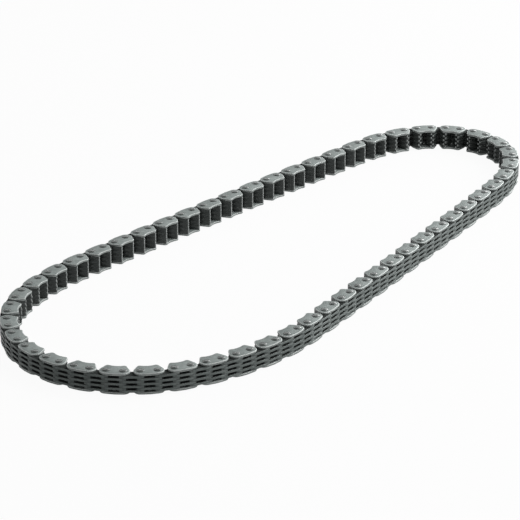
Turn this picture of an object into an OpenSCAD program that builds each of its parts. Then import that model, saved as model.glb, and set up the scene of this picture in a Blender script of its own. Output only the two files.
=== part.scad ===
// Silent chain: an endless inverted-tooth chain, lying on its side with the teeth inside the loop.
// All sizes are in millimetres. Z is up, along the pins. The chain rests on its lower pin heads at Z = 0.
// Each node is one outer link (two guide plates, three toothed plates, two riveted pins)
// with the inner link (four toothed plates) that runs on its second pin.

/* [Chain] */
// Distance between neighbouring pins
pitch = 6.35; // [5.6:0.05:7.6]
// Thickness of one stamped plate
plate_thickness = 0.92; // [0.7:0.01:1.2]
// Gap between neighbouring plates of the stack
layer_gap = 0.05; // [0.03:0.01:0.12]

/* [Guide plates] */
// Gap between the ends of two guide plates that follow each other
guide_end_gap = 1.1; // [0.7:0.05:1.6]
// Rise of the rounded back between the pins
guide_crown = 0.25; // [0.1:0.05:0.5]
// Distance from the pin line to the inner corners
guide_reach = 4.35; // [3.8:0.05:4.8]
// Radius of the inner corners
guide_corner_radius = 0.9; // [0.5:0.05:1.1]
// Depth of the hollow between the inner corners
guide_waist_depth = 0.6; // [0.3:0.05:0.9]

/* [Toothed plates] */
// Gap between the ends of two toothed plates that follow each other in one layer
tooth_end_gap = 0.85; // [0.5:0.05:1.3]
// Distance from the pin line to the tooth tips
tooth_reach = 4.45; // [4.0:0.05:5.0]
// Radius of a tooth tip
tooth_tip_radius = 0.45; // [0.3:0.05:0.6]
// Distance from the pin line to the top of the arch between the two teeth of a plate
crotch_depth = 1.1; // [0.8:0.05:1.5]

/* [Pins] */
// Diameter of the pin shank
pin_diameter = 2.3; // [1.9:0.05:2.5]
// How much wider the riveted head is than the shank, all round
head_overhang = 0.3; // [0.2:0.05:0.4]
// Height of a riveted head above its guide plate
head_height = 0.45; // [0.3:0.05:0.7]
// Width of the bevel around a head
head_bevel = 0.4; // [0.2:0.05:0.5]
// Running gap all round between a pin and the inner plates
running_gap = 0.04; // [0.02:0.01:0.08]
// Fitting gap between a pin and the plates it is riveted into
press_gap = 0.01; // [0.01:0.005:0.02]

/* [Loop shape] */
// Bend at each pin of the tight end, in degrees
tight_bend = 11.75; // [10:0.25:13]
// Bend at each pin of the wide end's sweep, in degrees
sweep_bend = 3.5; // [3:0.1:4]
// Further bend at each pin of the wide end's rounder part, in degrees
round_bend = 3.8; // [3.2:0.1:4.4]
// Pin where the tight end starts
tight_from = 33.5; // [32:0.25:35]
// Pin where the tight end stops
tight_to = 56; // [54.5:0.25:57.5]
// Pin where the wide end's sweep starts
sweep_from = 78.25; // [77:0.25:80]
// Pin where the rounder part of the wide end starts
round_from = 88.25; // [87:0.25:90]
// Pin where the wide end stops, counted on past the last pin
wide_to = 114.75; // [113:0.25:117]

/* [Hidden] */
$fn = 48;
link_count = 52;
pin_count = 2 * link_count;
full_turn = 360;
layer_count = 9;
layer_pitch = plate_thickness + layer_gap;
stack_bottom = head_height + press_gap;
stack_top = stack_bottom + layer_count * layer_pitch - layer_gap;
guide_end_radius = (pitch - guide_end_gap) / 2;
tooth_end_radius = (pitch - tooth_end_gap) / 2;
pin_radius = pin_diameter / 2;
head_radius = pin_radius + head_overhang;
tight_fade_in = 8;
tight_fade_out = 9;
sweep_fade_in = 0.75;
round_fade_in = 1.25;
wide_fade_out = 10.25;
straight_link = 11;
settle_passes = 8;
overlap = 0.02;
past = 1;

// Loop: bend at every pin, from zones that fade in and out along the chain

function clamp01(x) = max(0, min(1, x));
function zone(k, from, fade_in, to, fade_out) =
    min(clamp01((k - from) / fade_in), clamp01((to - k) / fade_out));
function lapped(k, from, fade_in, to, fade_out) =
    zone(k, from, fade_in, to, fade_out) + zone(k + pin_count, from, fade_in, to, fade_out);
function shaped_bend(k) =
    tight_bend * lapped(k, tight_from, tight_fade_in, tight_to, tight_fade_out)
    + sweep_bend * lapped(k, sweep_from, sweep_fade_in, wide_to, wide_fade_out)
    + round_bend * lapped(k, round_from, round_fade_in, wide_to, wide_fade_out);
function sum(list) = [for (item = list) 1] * list;

shaped = [for (k = [0 : pin_count - 1]) shaped_bend(k)];
level_bend = (full_turn - sum(shaped)) / pin_count;
bend = [for (b = shaped) b + level_bend];
heading = [for (k = 0, h = 0; k < pin_count; k = k + 1, h = h + (k < pin_count ? bend[k] : 0)) h];

// Segments: an outer link and the inner link after it, with the bend between them kept

segment_bend = [for (j = [0 : link_count - 1]) bend[2 * j + 1]];
segment_heading = [for (j = [0 : link_count - 1]) heading[2 * j] + segment_bend[j] / 2];
function way(h) = [cos(h), -sin(h)];
function segment_vector(j, turn) =
    2 * pitch * cos(segment_bend[j] / 2) * way(segment_heading[j] + turn);
function across(v) = [v[1], -v[0]];

// Segments fall into three sets. Each is turned a little so that its vectors add up to nothing:
// the loop then closes, and every second segment can swing with its set without opening it.

function set_of(j) = j % 2 == 0 ? 0 : (j % 4 == 1 ? 1 : 2);
function pull(set, turns) =
    let (
        v = [for (j = [0 : link_count - 1]) if (set_of(j) == set) segment_vector(j, turns[j])],
        s = sum(v),
        q = [for (u = v) across(u)],
        xx = sum([for (u = q) u[0] * u[0]]),
        xy = sum([for (u = q) u[0] * u[1]]),
        yy = sum([for (u = q) u[1] * u[1]]),
        det = xx * yy - xy * xy
    )
    [(yy * s[0] - xy * s[1]) / det, (xx * s[1] - xy * s[0]) / det];
function settled(turns, passes) =
    passes == 0 ? turns : let (pulls = [for (set = [0 : 2]) pull(set, turns)]) settled(
        [for (j = [0 : link_count - 1])
            turns[j] - across(segment_vector(j, turns[j])) * pulls[set_of(j)] * 180 / PI],
        passes - 1
    );
turns = settled([for (j = [0 : link_count - 1]) 0], settle_passes);
facing = segment_heading[straight_link] + turns[straight_link];
final_heading = [for (j = [0 : link_count - 1]) segment_heading[j] + turns[j] - facing];
step = [for (j = [0 : link_count - 1])
    2 * pitch * cos(segment_bend[j] / 2) * way(final_heading[j])];
chain = [for (j = 0, p = [0, 0]; j < link_count; p = p + step[j], j = j + 1) p];
middle = [for (axis = [0, 1])
    (max([for (p = chain) p[axis]]) + min([for (p = chain) p[axis]])) / 2];
start_pin = [for (p = chain) p - middle];
outer_heading = [for (j = [0 : link_count - 1]) final_heading[j] - segment_bend[j] / 2];
inner_heading = [for (j = [0 : link_count - 1]) final_heading[j] + segment_bend[j] / 2];
second_pin = [for (j = [0 : link_count - 1]) start_pin[j] + pitch * way(outer_heading[j])];

// Plate outlines: the pins lie on X at 0 and pitch, the inside of the loop is towards -Y

// Slope, from straight inwards, of a flank that touches an end disc about the pin
// and a corner disc straight below it
function flank_slope(end_radius, tip_radius, reach) =
    asin((end_radius - tip_radius) / (reach - tip_radius));

// Both sides of a tooth have the flank's slope, so the teeth of links that share a pin line up
tooth_slope = flank_slope(tooth_end_radius, tooth_tip_radius, tooth_reach);
crotch_drop =
    (pitch / 2 * cos(tooth_slope) + crotch_depth - tooth_end_radius) / (1 - sin(tooth_slope));
crotch_radius = crotch_drop - crotch_depth;

module both_ends() {
    children();
    translate([pitch, 0]) mirror([1, 0]) children();
}

// Half outline from a pin outwards: end disc, corner disc and the flank between them
module flank_side(end_radius, tip_radius, reach) {
    slope = flank_slope(end_radius, tip_radius, reach);
    flank_way = [cos(slope), -sin(slope)];
    tip = [0, tip_radius - reach];
    translate([pitch, 0]) {
        circle(r = end_radius);
        translate(tip) circle(r = tip_radius);
        polygon([
            [-pitch / 2 - overlap, overlap],
            [0, overlap],
            (end_radius - overlap) * flank_way,
            tip + (tip_radius - overlap) * flank_way,
            tip + [0, overlap - tip_radius],
            [-pitch / 2 - overlap, tip[1] + overlap - tip_radius]
        ]);
    }
}

module guide_outline() {
    back_radius = (pitch * pitch / 4 + guide_crown * guide_crown) / (2 * guide_crown);
    waist_half = pitch / 2 - guide_corner_radius / 3;
    waist_radius =
        (waist_half * waist_half + guide_waist_depth * guide_waist_depth) / (2 * guide_waist_depth);
    difference() {
        union() {
            both_ends() flank_side(guide_end_radius, guide_corner_radius, guide_reach);
            translate([0, -overlap]) square([pitch, guide_end_radius]);
            intersection() {
                translate([pitch / 2, guide_end_radius + guide_crown - back_radius])
                    circle(r = back_radius);
                translate([0, overlap]) square([pitch, guide_end_radius + past]);
            }
        }
        translate([pitch / 2, guide_waist_depth - guide_reach - waist_radius])
            circle(r = waist_radius);
    }
}

module tooth_outline() {
    tip = [pitch, tooth_tip_radius - tooth_reach];
    arch = [pitch / 2, -crotch_drop];
    inner_way = [-cos(tooth_slope), -sin(tooth_slope)];
    tip_side = tip + (tooth_tip_radius - overlap) * inner_way;
    arch_side = arch - (crotch_radius + overlap) * inner_way;
    below = tip_side + (tip_side - arch_side) / 2;
    difference() {
        union() {
            both_ends() flank_side(tooth_end_radius, tooth_tip_radius, tooth_reach);
            translate([0, -overlap]) square([pitch, tooth_end_radius]);
        }
        translate(arch) circle(r = crotch_radius);
        polygon([
            arch_side,
            below,
            [below[0], -tooth_reach - past],
            [pitch - below[0], -tooth_reach - past],
            [pitch - below[0], below[1]],
            [pitch - arch_side[0], arch_side[1]]
        ]);
    }
}

// Sub-parts

module plate(layer, bore_radius) {
    translate([0, 0, stack_bottom + layer * layer_pitch])
        linear_extrude(height = plate_thickness)
            difference() {
                children();
                circle(r = bore_radius);
                translate([pitch, 0]) circle(r = bore_radius);
            }
}

module guide_plate(layer) {
    color([0.36, 0.38, 0.38]) plate(layer, pin_radius + press_gap) guide_outline();
}

module outer_toothed_plate(layer) {
    color([0.33, 0.35, 0.35]) plate(layer, pin_radius + press_gap) tooth_outline();
}

module inner_toothed_plate(layer) {
    color([0.30, 0.32, 0.32]) plate(layer, pin_radius + running_gap) tooth_outline();
}

module riveted_pin() {
    head_band = head_height - min(head_bevel, head_height / 2);
    color([0.42, 0.44, 0.44]) union() {
        translate([0, 0, head_height - overlap])
            cylinder(r = pin_radius, h = stack_top + press_gap - head_height + 2 * overlap);
        cylinder(r1 = head_radius - head_bevel, r2 = head_radius, h = head_height - head_band);
        translate([0, 0, head_height - head_band]) cylinder(r = head_radius, h = head_band);
        translate([0, 0, stack_top + press_gap]) {
            cylinder(r = head_radius, h = head_band);
            translate([0, 0, head_band])
                cylinder(r1 = head_radius, r2 = head_radius - head_bevel, h = head_height - head_band);
        }
    }
}

module outer_link() {
    guide_plate(0);
    guide_plate(layer_count - 1);
    for (layer = [2 : 2 : layer_count - 3]) outer_toothed_plate(layer);
    riveted_pin();
    translate([pitch, 0, 0]) riveted_pin();
}

module inner_link() {
    for (layer = [1 : 2 : layer_count - 2]) inner_toothed_plate(layer);
}

module segment(j) {
    translate(start_pin[j]) rotate(-outer_heading[j]) outer_link();
    translate(second_pin[j]) rotate(-inner_heading[j]) inner_link();
}

// Nodes: link_01 to link_52, in order along the chain

function link_name(j) = str("link_", j < 9 ? "0" : "", j + 1);
for (j = [0 : link_count - 1]) {
    segment(j);
}
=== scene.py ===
"""Silent chain: an endless inverted-tooth chain on its side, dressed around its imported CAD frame.

The classes hold their sizes in millimetres and degrees. Pieces are modelled in millimetres and copied
into place in metres, in the frame of the CAD.
"""
import cmath
import logging
import math
from collections.abc import Callable
from dataclasses import dataclass, field
from enum import Enum

import bpy
from mathutils import Matrix, Vector


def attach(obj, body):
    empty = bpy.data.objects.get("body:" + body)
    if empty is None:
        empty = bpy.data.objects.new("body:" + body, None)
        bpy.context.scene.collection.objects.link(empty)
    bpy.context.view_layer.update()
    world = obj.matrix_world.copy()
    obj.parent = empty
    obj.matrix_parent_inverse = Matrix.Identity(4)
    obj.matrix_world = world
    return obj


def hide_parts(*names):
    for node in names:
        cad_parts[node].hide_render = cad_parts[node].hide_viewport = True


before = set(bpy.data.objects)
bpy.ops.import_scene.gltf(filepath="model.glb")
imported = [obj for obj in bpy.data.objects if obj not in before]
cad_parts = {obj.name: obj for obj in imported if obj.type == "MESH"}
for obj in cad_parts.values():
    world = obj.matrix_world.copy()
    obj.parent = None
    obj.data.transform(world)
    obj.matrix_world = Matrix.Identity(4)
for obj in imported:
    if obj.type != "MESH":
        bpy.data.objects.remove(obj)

LOG = logging.getLogger("silent_chain")
MM = 0.001
FULL_TURN = 360.0
RIGHT_ANGLE = 90.0
# Distance from pin to pin, in millimetres
PITCH = 6.35
# Vertices closer than this become one, in millimetres
WELD = 0.001
# Face attribute of the bright edges: partly scuffed metal and partly painted highlight.
WEAR_AND_HIGHLIGHT_ATTRIBUTE = "edge"
# Face attribute of painted shade: how much a face is darkened where shade falls.
PAINTED_SHADE_ATTRIBUTE = "painted_shade"


# Loop: where every link lies


def clamp(value: float) -> float:
    """The value, held between 0 and 1."""
    return max(0.0, min(1.0, value))


def way(heading: float, length: float = 1.0) -> complex:
    """A plane vector of this length along a clockwise heading in degrees."""
    return cmath.rect(length, -math.radians(heading))


@dataclass(frozen=True)
class Zone:
    """A stretch of the chain that bends evenly at its pins and fades in and out at its ends."""

    bend: float
    start: float
    fade_in: float
    stop: float
    fade_out: float

    def at(self, pin: float) -> float:
        """The bend that the zone gives to a pin.

        Args:
            pin: the pin's number along the chain.

        Returns:
            The bend in degrees.
        """
        rise = clamp((pin - self.start) / self.fade_in)
        fall = clamp((self.stop - pin) / self.fade_out)
        return self.bend * min(rise, fall)


@dataclass(frozen=True)
class LinkPlace:
    """Where one outer link and the inner link after it lie.

    Attributes:
        first_pin: the outer link's first pin, in millimetres.
        second_pin: its second pin, on which the inner link starts.
        outer_heading: clockwise heading of the outer link, in degrees.
        inner_heading: clockwise heading of the inner link, in degrees.
    """

    first_pin: complex
    second_pin: complex
    outer_heading: float
    inner_heading: float


@dataclass(frozen=True)
class LoopShape:
    """The teardrop that the chain lies in, worked out as the part's source does it."""

    pitch: float = PITCH
    link_count: int = 52
    tight_end: Zone = Zone(11.75, 33.5, 8.0, 56.0, 9.0)
    wide_sweep: Zone = Zone(3.5, 78.25, 0.75, 114.75, 10.25)
    wide_round: Zone = Zone(3.8, 88.25, 1.25, 114.75, 10.25)
    straight_link: int = 11
    settle_passes: int = 8

    def pin_bends(self) -> list[float]:
        """The bend at each pin in degrees, levelled so that they make one full turn.

        Returns:
            One bend for each pin, in order along the chain.
        """
        count = 2 * self.link_count
        zones = (self.tight_end, self.wide_sweep, self.wide_round)
        shaped = [sum(zone.at(pin) + zone.at(pin + count) for zone in zones) for pin in range(count)]
        level = (FULL_TURN - sum(shaped)) / count
        return [bend + level for bend in shaped]

    def settled(self, headings: list[float], lengths: list[float]) -> list[float]:
        """Turns the links a little, so that each of the three sets of links adds up to nothing.

        Args:
            headings: clockwise heading of each link pair, in degrees.
            lengths: distance from the first pin of each pair to that of the next.

        Returns:
            The headings after the turns.
        """
        sets = (
            range(0, self.link_count, 2),
            range(1, self.link_count, 4),
            range(3, self.link_count, 4),
        )
        turned = list(headings)
        for _ in range(self.settle_passes):
            for members in sets:
                steps = {j: way(turned[j], lengths[j]) for j in members}
                gap = sum(steps.values())
                across = {j: -1j * step for j, step in steps.items()}
                xx = sum(q.real * q.real for q in across.values())
                xy = sum(q.real * q.imag for q in across.values())
                yy = sum(q.imag * q.imag for q in across.values())
                det = xx * yy - xy * xy
                pull = complex(yy * gap.real - xy * gap.imag, xx * gap.imag - xy * gap.real) / det
                for j, q in across.items():
                    turned[j] -= math.degrees((q.conjugate() * pull).real)
        return turned

    def places(self) -> list[LinkPlace]:
        """Where each link pair lies, centred on the loop's first pins.

        Returns:
            One place for each outer link, in order along the chain.
        """
        bends = self.pin_bends()
        inner_bends = bends[1::2]
        headings = []
        heading = 0.0
        for j in range(self.link_count):
            if j > 0:
                heading += bends[2 * j]
            headings.append(heading + inner_bends[j] / 2)
            heading += inner_bends[j]
        lengths = [2 * self.pitch * math.cos(math.radians(bend / 2)) for bend in inner_bends]
        turned = self.settled(headings, lengths)
        facing = turned[self.straight_link]
        first_pins = [0j]
        for j in range(self.link_count - 1):
            first_pins.append(first_pins[j] + way(turned[j] - facing, lengths[j]))
        across = [pin.real for pin in first_pins]
        along = [pin.imag for pin in first_pins]
        middle = complex(max(across) + min(across), max(along) + min(along)) / 2
        places = []
        for j, pin in enumerate(first_pins):
            outer = turned[j] - facing - inner_bends[j] / 2
            inner = turned[j] - facing + inner_bends[j] / 2
            first = pin - middle
            places.append(LinkPlace(first, first + way(outer, self.pitch), outer, inner))
        return places


# Steel: finishes and the effects that they share


@dataclass(frozen=True)
class SteelFinish:
    """The look of one kind of steel piece.

    Attributes:
        name: the material's name.
        dark: linear colour of the darkest blotches of the finish.
        light: linear colour of its lightest blotches.
        wear_and_highlight_colour: linear colour of the bright edges, partly scuffed bare metal and partly
            painted highlight.
        painted_shade: linear colour of the shade painted into the gaps, the hollows of the teeth and round
            the pin heads.
        metallic: share of bare metal under the finish.
        bare: share of bare metal on the bright edges.
        gloss: specular level of the finish, where 0.5 is that of plain varnish.
        smooth: roughness of the oily blotches.
        rough: roughness of the dry ones.
        wear_and_highlight_mark: how much of the edges is painted bright, partly for scuffing and partly as
            a painted highlight.
        grain_height: depth of the fine grain, in millimetres.
    """

    name: str
    dark: tuple[float, float, float]
    light: tuple[float, float, float]
    wear_and_highlight_colour: tuple[float, float, float]
    painted_shade: tuple[float, float, float]
    metallic: float
    bare: float
    gloss: float
    smooth: float
    rough: float
    wear_and_highlight_mark: float
    grain_height: float


# Painted shade: this dark colour stands in for the shade in the gaps between the plates, in the hollows of
# the teeth and round the pin heads.
PAINTED_SHADE_COLOUR = (0.026, 0.029, 0.028)
# Painted sheen: the guide plates make the chain's top and bottom faces, and their steel is a lighter copy
# of the toothed plates' steel, standing in for the sheen on the tops.
GUIDE_STEEL_WITH_PAINTED_SHEEN = SteelFinish(
    name="guide_plate_steel",
    dark=(0.138, 0.156, 0.151),
    light=(0.193, 0.217, 0.210),
    wear_and_highlight_colour=(0.54, 0.56, 0.55),
    painted_shade=PAINTED_SHADE_COLOUR,
    metallic=0.12,
    bare=1.0,
    gloss=0.18,
    smooth=0.42,
    rough=0.58,
    wear_and_highlight_mark=0.70,
    grain_height=0.004,
)
TOOTH_STEEL = SteelFinish(
    name="toothed_plate_steel",
    dark=(0.096, 0.111, 0.107),
    light=(0.137, 0.156, 0.150),
    wear_and_highlight_colour=(0.36, 0.375, 0.37),
    painted_shade=PAINTED_SHADE_COLOUR,
    metallic=0.10,
    bare=0.30,
    gloss=0.22,
    smooth=0.36,
    rough=0.52,
    wear_and_highlight_mark=0.85,
    grain_height=0.010,
)
# Painted shade: the pins' steel is darker than the plates' so that their heads read as shaded.
PIN_STEEL_WITH_PAINTED_SHADE = SteelFinish(
    name="riveted_pin_steel",
    dark=(0.050, 0.057, 0.055),
    light=(0.083, 0.092, 0.088),
    wear_and_highlight_colour=(0.60, 0.61, 0.605),
    painted_shade=PAINTED_SHADE_COLOUR,
    metallic=0.10,
    bare=1.0,
    gloss=0.80,
    smooth=0.20,
    rough=0.30,
    wear_and_highlight_mark=0.10,
    grain_height=0.006,
)
# Painted shade: a dark, matt copy of the steel for the faces that lie deepest in shade, between the layers,
# on the roof of the arch, deep in the round ends and on the pins' walls.
PAINTED_SHADE_STEEL = SteelFinish(
    name="painted_shade_inner_steel",
    dark=(0.020, 0.023, 0.022),
    light=(0.033, 0.038, 0.037),
    wear_and_highlight_colour=(0.36, 0.375, 0.37),
    painted_shade=PAINTED_SHADE_COLOUR,
    metallic=0.0,
    bare=0.30,
    gloss=0.05,
    smooth=0.60,
    rough=0.80,
    wear_and_highlight_mark=0.0,
    grain_height=0.010,
)
# A face with more painted shade than this gets the dark painted-shade material.
PAINTED_SHADE_FROM = 0.8


def combine(
    tree: bpy.types.NodeTree,
    operation: str,
    first: bpy.types.NodeSocket,
    second: bpy.types.NodeSocket | float,
) -> bpy.types.NodeSocket:
    """Adds a math node.

    Args:
        tree: the node tree to add it to.
        operation: what it does.
        first: its first value.
        second: its second value, or a fixed number.

    Returns:
        The result.
    """
    node = tree.nodes.new("ShaderNodeMath")
    node.operation = operation
    tree.links.new(first, node.inputs[0])
    if isinstance(second, float):
        node.inputs[1].default_value = second
    else:
        tree.links.new(second, node.inputs[1])
    return node.outputs["Value"]


@dataclass
class SteelEffects:
    """The shader node groups that every steel finish uses. Scales are per metre."""

    blotch_scale: float = 420.0
    blotch_detail: float = 3.0
    cloud_scale: float = 55.0
    grain_scale: float = 5200.0
    chip_scale: float = 1900.0
    plain_detail: float = 2.0
    blotch_range: tuple[float, float] = (0.35, 0.65)
    chip_range: tuple[float, float] = (0.10, 0.45)
    cloud_share: float = 0.5
    bump_strength: float = 0.6

    def __post_init__(self) -> None:
        """Builds both groups once."""
        self.mottle = self.build_mottle()
        self.edge_wear_and_highlight = self.build_edge_wear_and_highlight()

    @staticmethod
    def noise(
        tree: bpy.types.NodeTree,
        place: bpy.types.NodeSocket,
        scale: float,
        detail: float,
    ) -> bpy.types.NodeSocket:
        """Adds a noise texture.

        Args:
            tree: the node tree to add it to.
            place: the coordinates that it reads.
            scale: its scale, per metre.
            detail: its detail.

        Returns:
            The noise's value.
        """
        texture = tree.nodes.new("ShaderNodeTexNoise")
        texture.inputs["Scale"].default_value = scale
        texture.inputs["Detail"].default_value = detail
        tree.links.new(place, texture.inputs["Vector"])
        return texture.outputs["Fac"]

    @staticmethod
    def spread(
        tree: bpy.types.NodeTree,
        value: bpy.types.NodeSocket,
        limits: tuple[float, float],
    ) -> bpy.types.NodeSocket:
        """Stretches the middle of a noise to 0 to 1.

        Args:
            tree: the node tree.
            value: the noise's value.
            limits: the values that become 0 and 1.

        Returns:
            The stretched value.
        """
        remap = tree.nodes.new("ShaderNodeMapRange")
        remap.inputs["From Min"].default_value = limits[0]
        remap.inputs["From Max"].default_value = limits[1]
        tree.links.new(value, remap.inputs["Value"])
        return remap.outputs["Result"]

    def build_mottle(self) -> bpy.types.NodeTree:
        """The blotches and the fine grain of a blued, oily steel surface.

        Returns:
            A group with Blotch and Grain outputs between 0 and 1.
        """
        tree = bpy.data.node_groups.new("steel_mottle", "ShaderNodeTree")
        tree.interface.new_socket("Blotch", in_out="OUTPUT", socket_type="NodeSocketFloat")
        tree.interface.new_socket("Grain", in_out="OUTPUT", socket_type="NodeSocketFloat")
        leave = tree.nodes.new("NodeGroupOutput")
        place = tree.nodes.new("ShaderNodeTexCoord").outputs["Object"]
        blotch = self.noise(tree, place, self.blotch_scale, self.blotch_detail)
        cloud = self.noise(tree, place, self.cloud_scale, self.plain_detail)
        grain = self.noise(tree, place, self.grain_scale, self.plain_detail)
        clear = self.spread(tree, blotch, self.blotch_range)
        clouded = self.spread(tree, cloud, self.blotch_range)
        small = combine(tree, "MULTIPLY", clear, 1.0 - self.cloud_share)
        large = combine(tree, "MULTIPLY", clouded, self.cloud_share)
        blend = combine(tree, "ADD", small, large)
        tree.links.new(blend, leave.inputs["Blotch"])
        tree.links.new(grain, leave.inputs["Grain"])
        return tree

    def build_edge_wear_and_highlight(self) -> bpy.types.NodeTree:
        """The patches along the plate edges that are painted bright, partly for scuffing and partly as a
        painted highlight.

        Returns:
            A group with Edge and Amount inputs, and a Mask output between 0 and 1.
        """
        tree = bpy.data.node_groups.new("edge_wear_and_highlight", "ShaderNodeTree")
        tree.interface.new_socket("Edge", in_out="INPUT", socket_type="NodeSocketFloat")
        tree.interface.new_socket("Amount", in_out="INPUT", socket_type="NodeSocketFloat")
        tree.interface.new_socket("Mask", in_out="OUTPUT", socket_type="NodeSocketFloat")
        enter = tree.nodes.new("NodeGroupInput")
        leave = tree.nodes.new("NodeGroupOutput")
        place = tree.nodes.new("ShaderNodeTexCoord").outputs["Object"]
        chips = self.noise(tree, place, self.chip_scale, self.plain_detail)
        patches = self.spread(tree, chips, self.chip_range)
        along = combine(tree, "MULTIPLY", enter.outputs["Edge"], patches)
        wear_and_highlight = combine(tree, "MULTIPLY", along, enter.outputs["Amount"])
        tree.links.new(wear_and_highlight, leave.inputs["Mask"])
        return tree

    def material(self, finish: SteelFinish) -> bpy.types.Material:
        """Makes the material of a finish.

        Args:
            finish: the steel's colours and roughness.

        Returns:
            The material.
        """
        made = bpy.data.materials.new(finish.name)
        made.use_nodes = True
        tree = made.node_tree
        shader = tree.nodes["Principled BSDF"]
        shader.inputs["Specular IOR Level"].default_value = finish.gloss
        mottle = tree.nodes.new("ShaderNodeGroup")
        mottle.node_tree = self.mottle
        wear_and_highlight_mark = tree.nodes.new("ShaderNodeGroup")
        wear_and_highlight_mark.node_tree = self.edge_wear_and_highlight
        wear_and_highlight_mark.inputs["Amount"].default_value = finish.wear_and_highlight_mark
        edge = tree.nodes.new("ShaderNodeAttribute")
        edge.attribute_name = WEAR_AND_HIGHLIGHT_ATTRIBUTE
        tree.links.new(edge.outputs["Fac"], wear_and_highlight_mark.inputs["Edge"])
        blued = tree.nodes.new("ShaderNodeMix")
        blued.data_type = "RGBA"
        blued.inputs["A"].default_value = (*finish.dark, 1.0)
        blued.inputs["B"].default_value = (*finish.light, 1.0)
        tree.links.new(mottle.outputs["Blotch"], blued.inputs["Factor"])
        # Painted shade: faces marked with painted shade are darkened toward the finish's painted shade
        # colour.
        painted_shade = tree.nodes.new("ShaderNodeAttribute")
        painted_shade.attribute_name = PAINTED_SHADE_ATTRIBUTE
        painted_shade_mix = tree.nodes.new("ShaderNodeMix")
        painted_shade_mix.data_type = "RGBA"
        painted_shade_mix.inputs["B"].default_value = (*finish.painted_shade, 1.0)
        tree.links.new(painted_shade.outputs["Fac"], painted_shade_mix.inputs["Factor"])
        tree.links.new(blued.outputs["Result"], painted_shade_mix.inputs["A"])
        # Scuffing and painted highlight: the marked edges are brightened toward a pale, bare colour.
        wear_and_highlight = tree.nodes.new("ShaderNodeMix")
        wear_and_highlight.data_type = "RGBA"
        wear_and_highlight.inputs["B"].default_value = (*finish.wear_and_highlight_colour, 1.0)
        tree.links.new(wear_and_highlight_mark.outputs["Mask"], wear_and_highlight.inputs["Factor"])
        tree.links.new(painted_shade_mix.outputs["Result"], wear_and_highlight.inputs["A"])
        tree.links.new(wear_and_highlight.outputs["Result"], shader.inputs["Base Color"])
        bare = tree.nodes.new("ShaderNodeMapRange")
        bare.inputs["To Min"].default_value = finish.metallic
        bare.inputs["To Max"].default_value = finish.bare
        tree.links.new(wear_and_highlight_mark.outputs["Mask"], bare.inputs["Value"])
        tree.links.new(bare.outputs["Result"], shader.inputs["Metallic"])
        rough = tree.nodes.new("ShaderNodeMapRange")
        rough.inputs["To Min"].default_value = finish.rough
        rough.inputs["To Max"].default_value = finish.smooth
        tree.links.new(mottle.outputs["Blotch"], rough.inputs["Value"])
        tree.links.new(rough.outputs["Result"], shader.inputs["Roughness"])
        bump = tree.nodes.new("ShaderNodeBump")
        bump.inputs["Strength"].default_value = self.bump_strength
        bump.inputs["Distance"].default_value = finish.grain_height * MM
        tree.links.new(mottle.outputs["Grain"], bump.inputs["Height"])
        tree.links.new(bump.outputs["Normal"], shader.inputs["Normal"])
        return made


# Modelling by hand: one vertex drawn along an outline


def deselect_all() -> None:
    """Goes to object mode and deselects every object."""
    if bpy.context.mode != "OBJECT":
        bpy.ops.object.mode_set(mode="OBJECT")
    bpy.ops.object.select_all(action="DESELECT")


def pick(piece: bpy.types.Object) -> None:
    """Goes to object mode and makes a piece the only selected object and the active one.

    Args:
        piece: the piece.
    """
    deselect_all()
    piece.select_set(True)
    bpy.context.view_layer.objects.active = piece


def apply_modifier(piece: bpy.types.Object, kind: str, **settings: object) -> None:
    """Adds a modifier to a piece, sets it and applies it.

    Args:
        piece: the piece, in object mode.
        kind: the modifier's type.
        **settings: its settings.
    """
    pick(piece)
    modifier = piece.modifiers.new(kind.lower(), kind)
    for name, value in settings.items():
        setattr(modifier, name, value)
    bpy.ops.object.modifier_apply(modifier=modifier.name)


def mark_faces(
    piece: bpy.types.Object,
    wear_and_highlight: Callable[[bpy.types.MeshPolygon], float],
    painted_shade_share: Callable[[bpy.types.MeshPolygon], float],
) -> None:
    """Marks every face for scuffing and painted highlight and for painted shade, and gives the most shaded
    faces the second material.

    Args:
        piece: the piece, in object mode.
        wear_and_highlight: how bright a face is painted, partly for scuffing and partly as a painted
            highlight.
        painted_shade_share: how much painted shade a face gets.
    """
    wear_and_highlight_mark = piece.data.attributes.new(WEAR_AND_HIGHLIGHT_ATTRIBUTE, "FLOAT", "FACE")
    # Painted shade: the second mark darkens the faces in the gaps and hollows, where shade falls.
    painted_shade_layer = piece.data.attributes.new(PAINTED_SHADE_ATTRIBUTE, "FLOAT", "FACE")
    for face in piece.data.polygons:
        wear_and_highlight_mark.data[face.index].value = wear_and_highlight(face)
        painted_shade_layer.data[face.index].value = painted_shade_share(face)
        # The faces deepest in painted shade get the dark painted-shade material.
        face.material_index = int(painted_shade_share(face) > PAINTED_SHADE_FROM)


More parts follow.
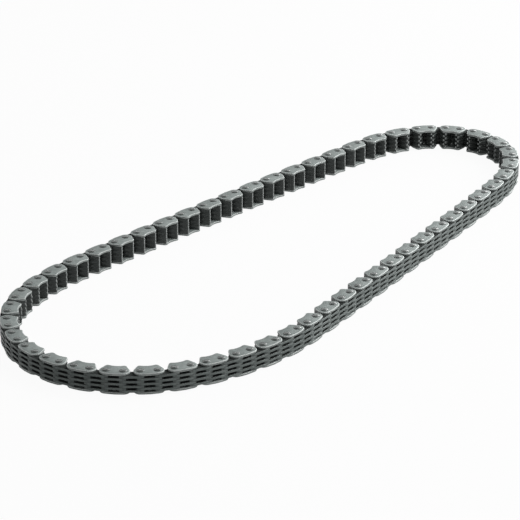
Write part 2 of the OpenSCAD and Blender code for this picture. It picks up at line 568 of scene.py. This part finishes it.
class Tracer:
    """Draws an open outline in edit mode: a vertex is extruded along lines and spun along arcs."""

    def __init__(self, name: str, start: Vector, axis: Vector) -> None:
        """Starts with one vertex.

        Args:
            name: the piece's name.
            start: where the outline starts.
            axis: the axis that its arcs turn about.
        """
        deselect_all()
        bpy.ops.mesh.primitive_plane_add(size=1.0, location=(0.0, 0.0, 0.0))
        self.piece = bpy.context.active_object
        self.piece.name = name
        self.axis = axis
        self.tip = start.copy()
        bpy.ops.object.mode_set(mode="EDIT")
        bpy.context.tool_settings.mesh_select_mode = (True, False, False)
        bpy.ops.mesh.select_all(action="SELECT")
        bpy.ops.mesh.merge(type="CENTER")
        bpy.ops.transform.translate(value=start)

    def line(self, end: Vector) -> None:
        """Extrudes the last vertex to a point."""
        bpy.ops.mesh.extrude_region_move(TRANSFORM_OT_translate={"value": end - self.tip})
        self.tip = end.copy()

    def arc(self, centre: Vector, turn: float, steps: int) -> None:
        """Spins the last vertex about a centre.

        Args:
            centre: the arc's centre.
            turn: how far it goes, in degrees, counter-clockwise about the axis.
            steps: how many edges it gets.
        """
        angle = math.radians(turn)
        bpy.ops.mesh.spin(steps=steps, angle=-angle, center=centre, axis=self.axis)
        self.tip = centre + Matrix.Rotation(angle, 3, self.axis) @ (self.tip - centre)


def flat(x: float, y: float) -> Vector:
    """A point of the plate's plane."""
    return Vector((x, y, 0.0))


def polar(centre: Vector, radius: float, degrees: float) -> Vector:
    """A point of the plate's plane at an angle on a circle."""
    angle = math.radians(degrees)
    return centre + flat(radius * math.cos(angle), radius * math.sin(angle))


def arc_radius(half_chord: float, rise: float) -> float:
    """Radius of the arc that rises this far over half its chord."""
    return (half_chord * half_chord + rise * rise) / (2 * rise)


UP = Vector((0.0, 0.0, 1.0))


@dataclass
class StampedPlate:
    """A plate with two rounded ends about its pins.

    X runs along it, its middle is at 0, and -Y is the loop's inside. A face whose normal's height is above
    flat_normal is one of the two flat faces, and one below wall_normal is part of the wall round the plate.
    """

    name: str
    pitch: float = PITCH
    thickness: float = 0.92
    end_radius: float = 2.75
    reach: float = 4.45
    corner_radius: float = 0.45
    edge_round: float = 0.04
    edge_steps: int = 1
    end_steps: int = 4
    flat_normal: float = 0.95
    wall_normal: float = 0.1
    smooth_angle: float = 35.0

    @property
    def pin(self) -> Vector:
        """The pin on the plate's right."""
        return flat(self.pitch / 2, 0.0)

    @property
    def corner(self) -> Vector:
        """The middle of the inner corner's rounding, straight below the pin."""
        return self.pin + flat(0.0, self.corner_radius - self.reach)

    @property
    def slope(self) -> float:
        """Slope of the flank from straight inwards, in degrees."""
        drop = self.reach - self.corner_radius
        return math.degrees(math.asin((self.end_radius - self.corner_radius) / drop))

    def trace_end(self, pen: Tracer) -> None:
        """Draws the rounded end and the flank, from the back above the pin to the inner corner."""
        pen.arc(self.pin, -RIGHT_ANGLE - self.slope, self.end_steps)
        pen.line(polar(self.corner, self.corner_radius, -self.slope))

    def trace_half(self) -> Tracer:
        """Draws the right half of the outline, from the middle of the back to the middle of the inside.

        Returns:
            The tracer, at the end of its outline.
        """
        raise NotImplementedError

    def build(self) -> bpy.types.Object:
        """Models the plate about its middle plane.

        Returns:
            The plate.
        """
        piece = self.trace_half().piece
        bpy.ops.object.mode_set(mode="OBJECT")
        apply_modifier(piece, "MIRROR", use_clip=True, merge_threshold=WELD)
        bpy.ops.object.mode_set(mode="EDIT")
        bpy.ops.mesh.select_all(action="SELECT")
        bpy.ops.mesh.edge_face_add()
        bpy.ops.transform.translate(value=(0.0, 0.0, -self.thickness / 2))
        bpy.ops.mesh.extrude_region_move(TRANSFORM_OT_translate={"value": (0.0, 0.0, self.thickness)})
        bpy.ops.mesh.select_all(action="SELECT")
        bpy.ops.mesh.normals_make_consistent(inside=False)
        self.round_edges(piece)
        return piece

    def wear_and_highlight(self, face: bpy.types.MeshPolygon) -> float:
        """How bright a face of the plate is painted, partly for scuffing and partly as a painted highlight.

        Args:
            face: the face.

        Returns:
            1 on the rims of the plate, and 0 elsewhere.
        """
        return float(self.wall_normal < abs(face.normal.z) < self.flat_normal)

    def painted_shade_share(self, face: bpy.types.MeshPolygon) -> float:
        """How much painted shade a face of the plate gets.

        Args:
            face: the face; not used.

        Returns:
            0 on a plate that lies outside, where no shade is painted.
        """
        return 0.0

    def round_edges(self, piece: bpy.types.Object) -> None:
        """Rounds the rims of both flat faces and marks the plate for scuffing and painted highlight and for
        painted shade.

        Args:
            piece: the plate, in edit mode.
        """
        bpy.context.tool_settings.mesh_select_mode = (False, True, False)
        bpy.ops.mesh.select_all(action="DESELECT")
        bpy.ops.object.mode_set(mode="OBJECT")
        points = piece.data.vertices
        for edge in piece.data.edges:
            first, second = (points[i].co.z for i in edge.vertices)
            edge.select = abs(first - second) < self.thickness / 2
        bpy.ops.object.mode_set(mode="EDIT")
        bpy.ops.mesh.bevel(offset=self.edge_round, segments=self.edge_steps, affect="EDGES")
        bpy.ops.object.mode_set(mode="OBJECT")
        mark_faces(piece, self.wear_and_highlight, self.painted_shade_share)
        pick(piece)
        bpy.ops.object.shade_smooth_by_angle(angle=math.radians(self.smooth_angle))


@dataclass
class GuidePlate(StampedPlate):
    """The plate at the top and at the bottom of the stack, which keeps the chain on its sprockets."""

    name: str = "guide_plate"
    end_radius: float = 2.625
    reach: float = 4.35
    corner_radius: float = 0.9
    edge_round: float = 0.26
    edge_steps: int = 2
    end_steps: int = 6
    crown: float = 0.25
    waist_depth: float = 0.6
    waist_inset: float = 0.3
    corner_steps: int = 2
    waist_steps: int = 2

    def trace_half(self) -> Tracer:
        """Draws the crowned back, the end, the inner corner and the hollow of the waist.

        Returns:
            The tracer, at the end of its outline.
        """
        half = self.pitch / 2
        back_radius = arc_radius(half, self.crown)
        back = flat(0.0, self.end_radius + self.crown - back_radius)
        pen = Tracer(self.name, flat(0.0, self.end_radius + self.crown), UP)
        pen.arc(back, -math.degrees(math.asin(half / back_radius)), 1)
        self.trace_end(pen)
        pen.arc(self.corner, self.slope - RIGHT_ANGLE, self.corner_steps)
        waist_half = half - self.waist_inset
        waist_radius = arc_radius(waist_half, self.waist_depth)
        waist = flat(0.0, self.waist_depth - self.reach - waist_radius)
        pen.line(flat(waist_half, -self.reach))
        pen.arc(waist, math.degrees(math.asin(waist_half / waist_radius)), self.waist_steps)
        return pen


@dataclass
class ToothedPlate(StampedPlate):
    """A link plate with two teeth and the arch between them."""

    name: str = "toothed_plate"
    arch_depth: float = 1.1
    tip_steps: int = 3
    arch_steps: int = 2
    # Share of the bright edge paint on the rims: partly scuffing and partly painted highlight.
    rim_wear_and_highlight: float = 0.28
    # Painted shade: how deep into the round ends, and how strongly on the flanks, the roof of the arch and
    # the flat faces, shade is painted.
    shade_depth: float = 0.9
    flank_shade: float = 0.8
    roof_shade: float = 1.0
    roof_half: float = 0.95
    tip_fade: float = 5.0
    flat_shade: float = 1.0

    def wear_and_highlight(self, face: bpy.types.MeshPolygon) -> float:
        """How bright a face of the plate is painted, partly for scuffing and partly as a painted highlight.

        Args:
            face: the face.

        Returns:
            1 on the very tips of the teeth, less round their sides, a part of it on the rims, and 0
            elsewhere.
        """
        if face.center.y < self.corner.y:
            return abs(face.normal.y) ** self.tip_fade
        return self.rim_wear_and_highlight * super().wear_and_highlight(face)

    def painted_shade_share(self, face: bpy.types.MeshPolygon) -> float:
        """How much painted shade a face of the plate gets.

        Args:
            face: the face.

        Returns:
            1 on the flat faces and the roof of the arch, more and more down the round ends, most of it on
            the flanks of the teeth, and 0 on the back and on the very tips. All of it is painted shade.
        """
        if abs(face.normal.z) > self.flat_normal:
            return self.flat_shade
        if face.center.y > 0.0:
            return clamp((self.end_radius - face.center.y) / self.shade_depth)
        if face.center.y < self.corner.y:
            return self.flank_shade * (1.0 - self.wear_and_highlight(face))
        return self.roof_shade if abs(face.center.x) < self.roof_half else self.flank_shade

    def trace_half(self) -> Tracer:
        """Draws the straight back, the end, the tooth and half the arch.

        Returns:
            The tracer, at the end of its outline.
        """
        pen = Tracer(self.name, flat(0.0, self.end_radius), UP)
        pen.line(flat(self.pitch / 2, self.end_radius))
        self.trace_end(pen)
        lean = math.radians(self.slope)
        drop = self.pin.x * math.cos(lean) + self.arch_depth - self.end_radius
        drop /= 1.0 - math.sin(lean)
        arch = flat(0.0, -drop)
        pen.arc(self.corner, 2 * (self.slope - RIGHT_ANGLE), self.tip_steps)
        pen.line(polar(arch, drop - self.arch_depth, self.slope))
        pen.arc(arch, RIGHT_ANGLE - self.slope, self.arch_steps)
        return pen


@dataclass
class RivetedPin:
    """A pin with a domed head at each end, upright on its middle."""

    name: str = "riveted_pin"
    radius: float = 1.15
    head_overhang: float = 0.3
    head_height: float = 0.45
    head_band: float = 0.10
    # Painted shade on the rim of each dome, darkening the head's edge.
    rim_shade: float = 0.35
    dome_steps: int = 4
    reach: float = 4.80
    turn_steps: int = 14
    wall_normal: float = 0.5
    crown_normal: float = 0.985
    smooth_angle: float = 50.0

    def wear_and_highlight(self, face: bpy.types.MeshPolygon) -> float:
        """1 on the crown of a head, painted lighter partly for scuffing and partly as a painted highlight,
        and 0 elsewhere.
        """
        return float(abs(face.normal.z) > self.crown_normal)

    def painted_shade_share(self, face: bpy.types.MeshPolygon) -> float:
        """How much painted shade a face of the pin gets.

        Args:
            face: the face.

        Returns:
            1 on the shank and round the head's wall, less on the rim of the dome, and 0 on its crown:
            painted shade round the head.
        """
        if abs(face.normal.z) < self.wall_normal:
            return 1.0
        on_rim = math.hypot(face.center.x, face.center.y) > self.radius
        return self.rim_shade if on_rim else 0.0

    def build(self) -> bpy.types.Object:
        """Draws the pin's profile and spins it about its axis.

        Returns:
            The pin.
        """
        rim = self.radius + self.head_overhang
        neck = self.reach - self.head_height
        sag = self.head_height - self.head_band
        dome = arc_radius(rim, sag)
        lean = math.asin(rim / dome)
        domed = [lean * (1 - step / self.dome_steps) for step in range(self.dome_steps + 1)]
        upper = [(self.radius, neck), (rim, neck)]
        upper += [(dome * math.sin(angle), self.reach + dome * (math.cos(angle) - 1)) for angle in domed]
        lower = [(x, -z) for x, z in reversed(upper)]
        points = [Vector((x, 0.0, z)) for x, z in (*lower, *upper)]
        pen = Tracer(self.name, points[0], UP)
        for point in points[1:]:
            pen.line(point)
        bpy.ops.mesh.select_all(action="SELECT")
        bpy.ops.mesh.spin(steps=self.turn_steps, angle=2 * math.pi, center=(0.0, 0.0, 0.0), axis=UP)
        bpy.ops.mesh.select_all(action="SELECT")
        bpy.ops.mesh.remove_doubles(threshold=WELD)
        bpy.ops.mesh.normals_make_consistent(inside=False)
        bpy.ops.object.mode_set(mode="OBJECT")
        mark_faces(pen.piece, self.wear_and_highlight, self.painted_shade_share)
        pick(pen.piece)
        bpy.ops.object.shade_smooth_by_angle(angle=math.radians(self.smooth_angle))
        return pen.piece


# Assembly: the groups of one link and their copies round the loop


class Group(Enum):
    """The groups of pieces that make up one link of the chain."""

    GUIDES = "guide_plates"
    OUTER = "outer_toothed_plates"
    INNER = "inner_toothed_plates"
    PINS = "riveted_pins"


@dataclass
class LinkGroups:
    """The four groups of one link, each modelled once about the middle of its plates."""

    pitch: float = PITCH
    layer_pitch: float = 0.97
    layer_count: int = 9
    outer_layers: int = 3
    inner_layers: int = 4
    middle_height: float = 4.80
    effects: SteelEffects = field(default_factory=SteelEffects)

    def build(self) -> dict[Group, bpy.types.Object]:
        """Models the four groups.

        Returns:
            One joined piece for each group.
        """
        return {
            Group.GUIDES: self.build_guides(),
            Group.OUTER: self.build_layers(Group.OUTER, self.outer_layers),
            Group.INNER: self.build_layers(Group.INNER, self.inner_layers),
            Group.PINS: self.build_pins(),
        }

    def dress(self, piece: bpy.types.Object, *finishes: SteelFinish) -> None:
        """Gives a piece its finishes.

        Args:
            piece: the piece.
            *finishes: the finish of its open faces, and after it the dark material of its faces in painted
                       shade.
        """
        for finish in finishes:
            made = bpy.data.materials.get(finish.name) or self.effects.material(finish)
            piece.data.materials.append(made)

    @staticmethod
    def shift(piece: bpy.types.Object, offset: tuple[float, float, float]) -> None:
        """Moves a piece's mesh in edit mode.

        Args:
            piece: the piece.
            offset: how far, in millimetres.
        """
        pick(piece)
        bpy.ops.object.mode_set(mode="EDIT")
        bpy.ops.mesh.select_all(action="SELECT")
        bpy.ops.transform.translate(value=offset)
        bpy.ops.object.mode_set(mode="OBJECT")

    def build_guides(self) -> bpy.types.Object:
        """Models the top guide plate and mirrors it to the bottom.

        Returns:
            The joined plates.
        """
        piece = GuidePlate(pitch=self.pitch).build()
        self.shift(piece, (0.0, 0.0, self.layer_pitch * (self.layer_count - 1) / 2))
        apply_modifier(piece, "MIRROR", use_axis=(False, False, True), use_mirror_merge=False)
        self.dress(piece, GUIDE_STEEL_WITH_PAINTED_SHEEN)
        piece.name = Group.GUIDES.value
        return piece

    def build_layers(self, group: Group, count: int) -> bpy.types.Object:
        """Models one toothed plate and repeats it in every second layer.

        Args:
            group: outer or inner plates.
            count: how many plates the group has.

        Returns:
            The joined plates.
        """
        piece = ToothedPlate(pitch=self.pitch).build()
        self.shift(piece, (0.0, 0.0, -self.layer_pitch * (count - 1)))
        apply_modifier(
            piece,
            "ARRAY",
            count=count,
            use_relative_offset=False,
            use_constant_offset=True,
            constant_offset_displace=(0.0, 0.0, 2 * self.layer_pitch),
        )
        self.dress(piece, TOOTH_STEEL, PAINTED_SHADE_STEEL)
        piece.name = group.value
        return piece

    def build_pins(self) -> bpy.types.Object:
        """Models one pin and mirrors it to the link's other end.

        Returns:
            The joined pins.
        """
        piece = RivetedPin(reach=self.middle_height).build()
        self.shift(piece, (self.pitch / 2, 0.0, 0.0))
        apply_modifier(piece, "MIRROR", use_mirror_merge=False)
        self.dress(piece, PIN_STEEL_WITH_PAINTED_SHADE, PAINTED_SHADE_STEEL)
        piece.name = Group.PINS.value
        return piece


@dataclass
class SilentChain:
    """The whole chain: every link's groups, laid along the loop on the CAD's bodies."""

    loop: LoopShape = LoopShape()
    groups: LinkGroups = field(default_factory=LinkGroups)

    def seat(self, group: Group, place: LinkPlace) -> Matrix:
        """Where a group's middle goes.

        Args:
            group: the group.
            place: where its link lies.

        Returns:
            The matrix from the group's millimetres to the frame's metres.
        """
        pin = place.second_pin if group is Group.INNER else place.first_pin
        heading = place.inner_heading if group is Group.INNER else place.outer_heading
        middle = pin + way(heading, self.loop.pitch / 2)
        seated = Matrix.Translation((middle.real * MM, middle.imag * MM, self.groups.middle_height * MM))
        return seated @ Matrix.Rotation(-math.radians(heading), 4, "Z") @ Matrix.Scale(MM, 4)

    def build(self) -> None:
        """Copies the four groups to every link and rides them on its body."""
        masters = self.groups.build()
        for number, place in enumerate(self.loop.places(), start=1):
            link = f"link_{number:02d}"
            for group, master in masters.items():
                mesh = master.data.copy()
                mesh.transform(self.seat(group, place))
                piece = bpy.data.objects.new(f"{group.value}_{number:02d}", mesh)
                mesh.name = piece.name
                bpy.context.collection.objects.link(piece)
                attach(piece, link)
                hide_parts(link)
                LOG.info("%s on %s", piece.name, link)
        for master in masters.values():
            spare = master.data
            bpy.data.objects.remove(master)
            bpy.data.meshes.remove(spare)


# Studio: floor, light and camera


@dataclass(frozen=True)
class Lamp:
    """A soft box that looks at the chain.

    Attributes:
        name: its name.
        azimuth: where it stands, in degrees clockwise from the camera's right, seen from above.
        elevation: how high it stands, in degrees.
        distance: how far from the chain, in metres.
        size: its width and height, in metres.
        power: its power, in watts.
    """

    name: str
    azimuth: float
    elevation: float
    distance: float
    size: tuple[float, float]
    power: float


@dataclass
class Studio:
    """A white floor, soft light from the right and a long lens at the photograph's angle."""

    heading: float = 46.123
    elevation: float = 24.725
    distance: float = 1138.58
    aim: tuple[float, float, float] = (-24.078, -1.530, 9.60)
    focal_pixels: float = 2865.5
    image_pixels: float = 520.0
    sensor: float = 36.0
    floor_size: float = 14.0
    floor_colour: tuple[float, float, float] = (0.40, 0.40, 0.40)
    floor_white: float = 0.95
    floor_roughness: float = 0.9
    world_light: float = 0.20
    clip: tuple[float, float] = (0.05, 50.0)
    lamps: tuple[Lamp, ...] = (
        Lamp("key_softbox", -8.0, 44.0, 0.9, (1.0, 0.8), 13.6),
        Lamp("glint_softbox", -10.0, 40.0, 0.8, (0.12, 0.10), 2.4),
        Lamp("back_softbox", -95.0, 31.0, 1.8, (1.6, 0.6), 5.6),
        Lamp("low_softbox", -64.0, 19.0, 1.0, (0.36, 0.24), 2.6),
        Lamp("fill_softbox", 110.0, 38.0, 1.2, (0.9, 0.5), 1.2),
    )

    @property
    def forward(self) -> Vector:
        """The way the camera looks.

        Returns:
            A vector of length 1.
        """
        turn = math.radians(self.heading)
        tilt = math.radians(self.elevation)
        return Vector((math.cos(tilt) * math.sin(turn), math.cos(tilt) * math.cos(turn), -math.sin(tilt)))

    def build(self) -> None:
        """Builds the floor, the world, the lamps and the camera."""
        self.build_floor()
        self.build_world()
        for lamp in self.lamps:
            self.build_lamp(lamp)
        self.build_camera()

    @staticmethod
    def shown_white(tree: bpy.types.NodeTree) -> bpy.types.NodeSocket:
        """Adds the test for rays that should see the white background.

        Args:
            tree: the floor's node tree.

        Returns:
            1 for rays from the camera, from gloss and through glass.
        """
        path = tree.nodes.new("ShaderNodeLightPath")
        through = path.outputs["Is Transmission Ray"]
        mirrored = combine(tree, "MAXIMUM", path.outputs["Is Glossy Ray"], through)
        return combine(tree, "MAXIMUM", path.outputs["Is Camera Ray"], mirrored)

    def build_floor(self) -> None:
        """Lays the floor, white to the camera and pale to the light."""
        deselect_all()
        bpy.ops.mesh.primitive_plane_add(size=self.floor_size, location=(0.0, 0.0, 0.0))
        floor = bpy.context.active_object
        floor.name = "studio_floor"
        made = bpy.data.materials.new("floor_white")
        made.use_nodes = True
        tree = made.node_tree
        shader = tree.nodes["Principled BSDF"]
        shader.inputs["Base Color"].default_value = (*self.floor_colour, 1.0)
        shader.inputs["Roughness"].default_value = self.floor_roughness
        glow = tree.nodes.new("ShaderNodeEmission")
        blend = tree.nodes.new("ShaderNodeMixShader")
        part = combine(tree, "MULTIPLY", self.shown_white(tree), self.floor_white)
        tree.links.new(part, blend.inputs["Fac"])
        tree.links.new(shader.outputs["BSDF"], blend.inputs[1])
        tree.links.new(glow.outputs["Emission"], blend.inputs[2])
        tree.links.new(blend.outputs["Shader"], tree.nodes["Material Output"].inputs["Surface"])
        floor.data.materials.append(made)

    def build_world(self) -> None:
        """Makes the even, dim light of the room. The camera sees only the floor."""
        world = bpy.data.worlds.new("studio_world")
        bpy.context.scene.world = world
        world.use_nodes = True
        sky = world.node_tree.nodes["Background"]
        sky.inputs["Color"].default_value = (1.0, 1.0, 1.0, 1.0)
        sky.inputs["Strength"].default_value = self.world_light

    def build_lamp(self, lamp: Lamp) -> None:
        """Hangs a soft box.

        Args:
            lamp: its place, size and power.
        """
        turn = math.radians(self.heading + lamp.azimuth + RIGHT_ANGLE)
        tilt = math.radians(lamp.elevation)
        out = Vector((math.cos(tilt) * math.sin(turn), math.cos(tilt) * math.cos(turn), math.sin(tilt)))
        light = bpy.data.lights.new(lamp.name, "AREA")
        light.shape = "RECTANGLE"
        light.size, light.size_y = lamp.size
        light.energy = lamp.power
        holder = bpy.data.objects.new(lamp.name, light)
        holder.location = out * lamp.distance
        holder.rotation_euler = (-out).to_track_quat("-Z", "Y").to_euler()
        bpy.context.collection.objects.link(holder)

    def build_camera(self) -> None:
        """Sets the camera at the photograph's angle and distance."""
        data = bpy.data.cameras.new("long_lens")
        data.sensor_width = self.sensor
        data.lens = self.sensor * self.focal_pixels / self.image_pixels
        data.clip_start, data.clip_end = self.clip
        camera = bpy.data.objects.new("long_lens", data)
        camera.location = (Vector(self.aim) - self.forward * self.distance) * MM
        camera.rotation_euler = self.forward.to_track_quat("-Z", "Y").to_euler()
        bpy.context.collection.objects.link(camera)
        bpy.context.scene.camera = camera
        bpy.context.scene.view_settings.view_transform = "Standard"


def main() -> None:
    """Builds the chain and the studio around it."""
    logging.basicConfig(level=logging.INFO, format="%(message)s")
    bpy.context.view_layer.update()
    SilentChain().build()
    Studio().build()


if __name__ == "__main__":
    main()
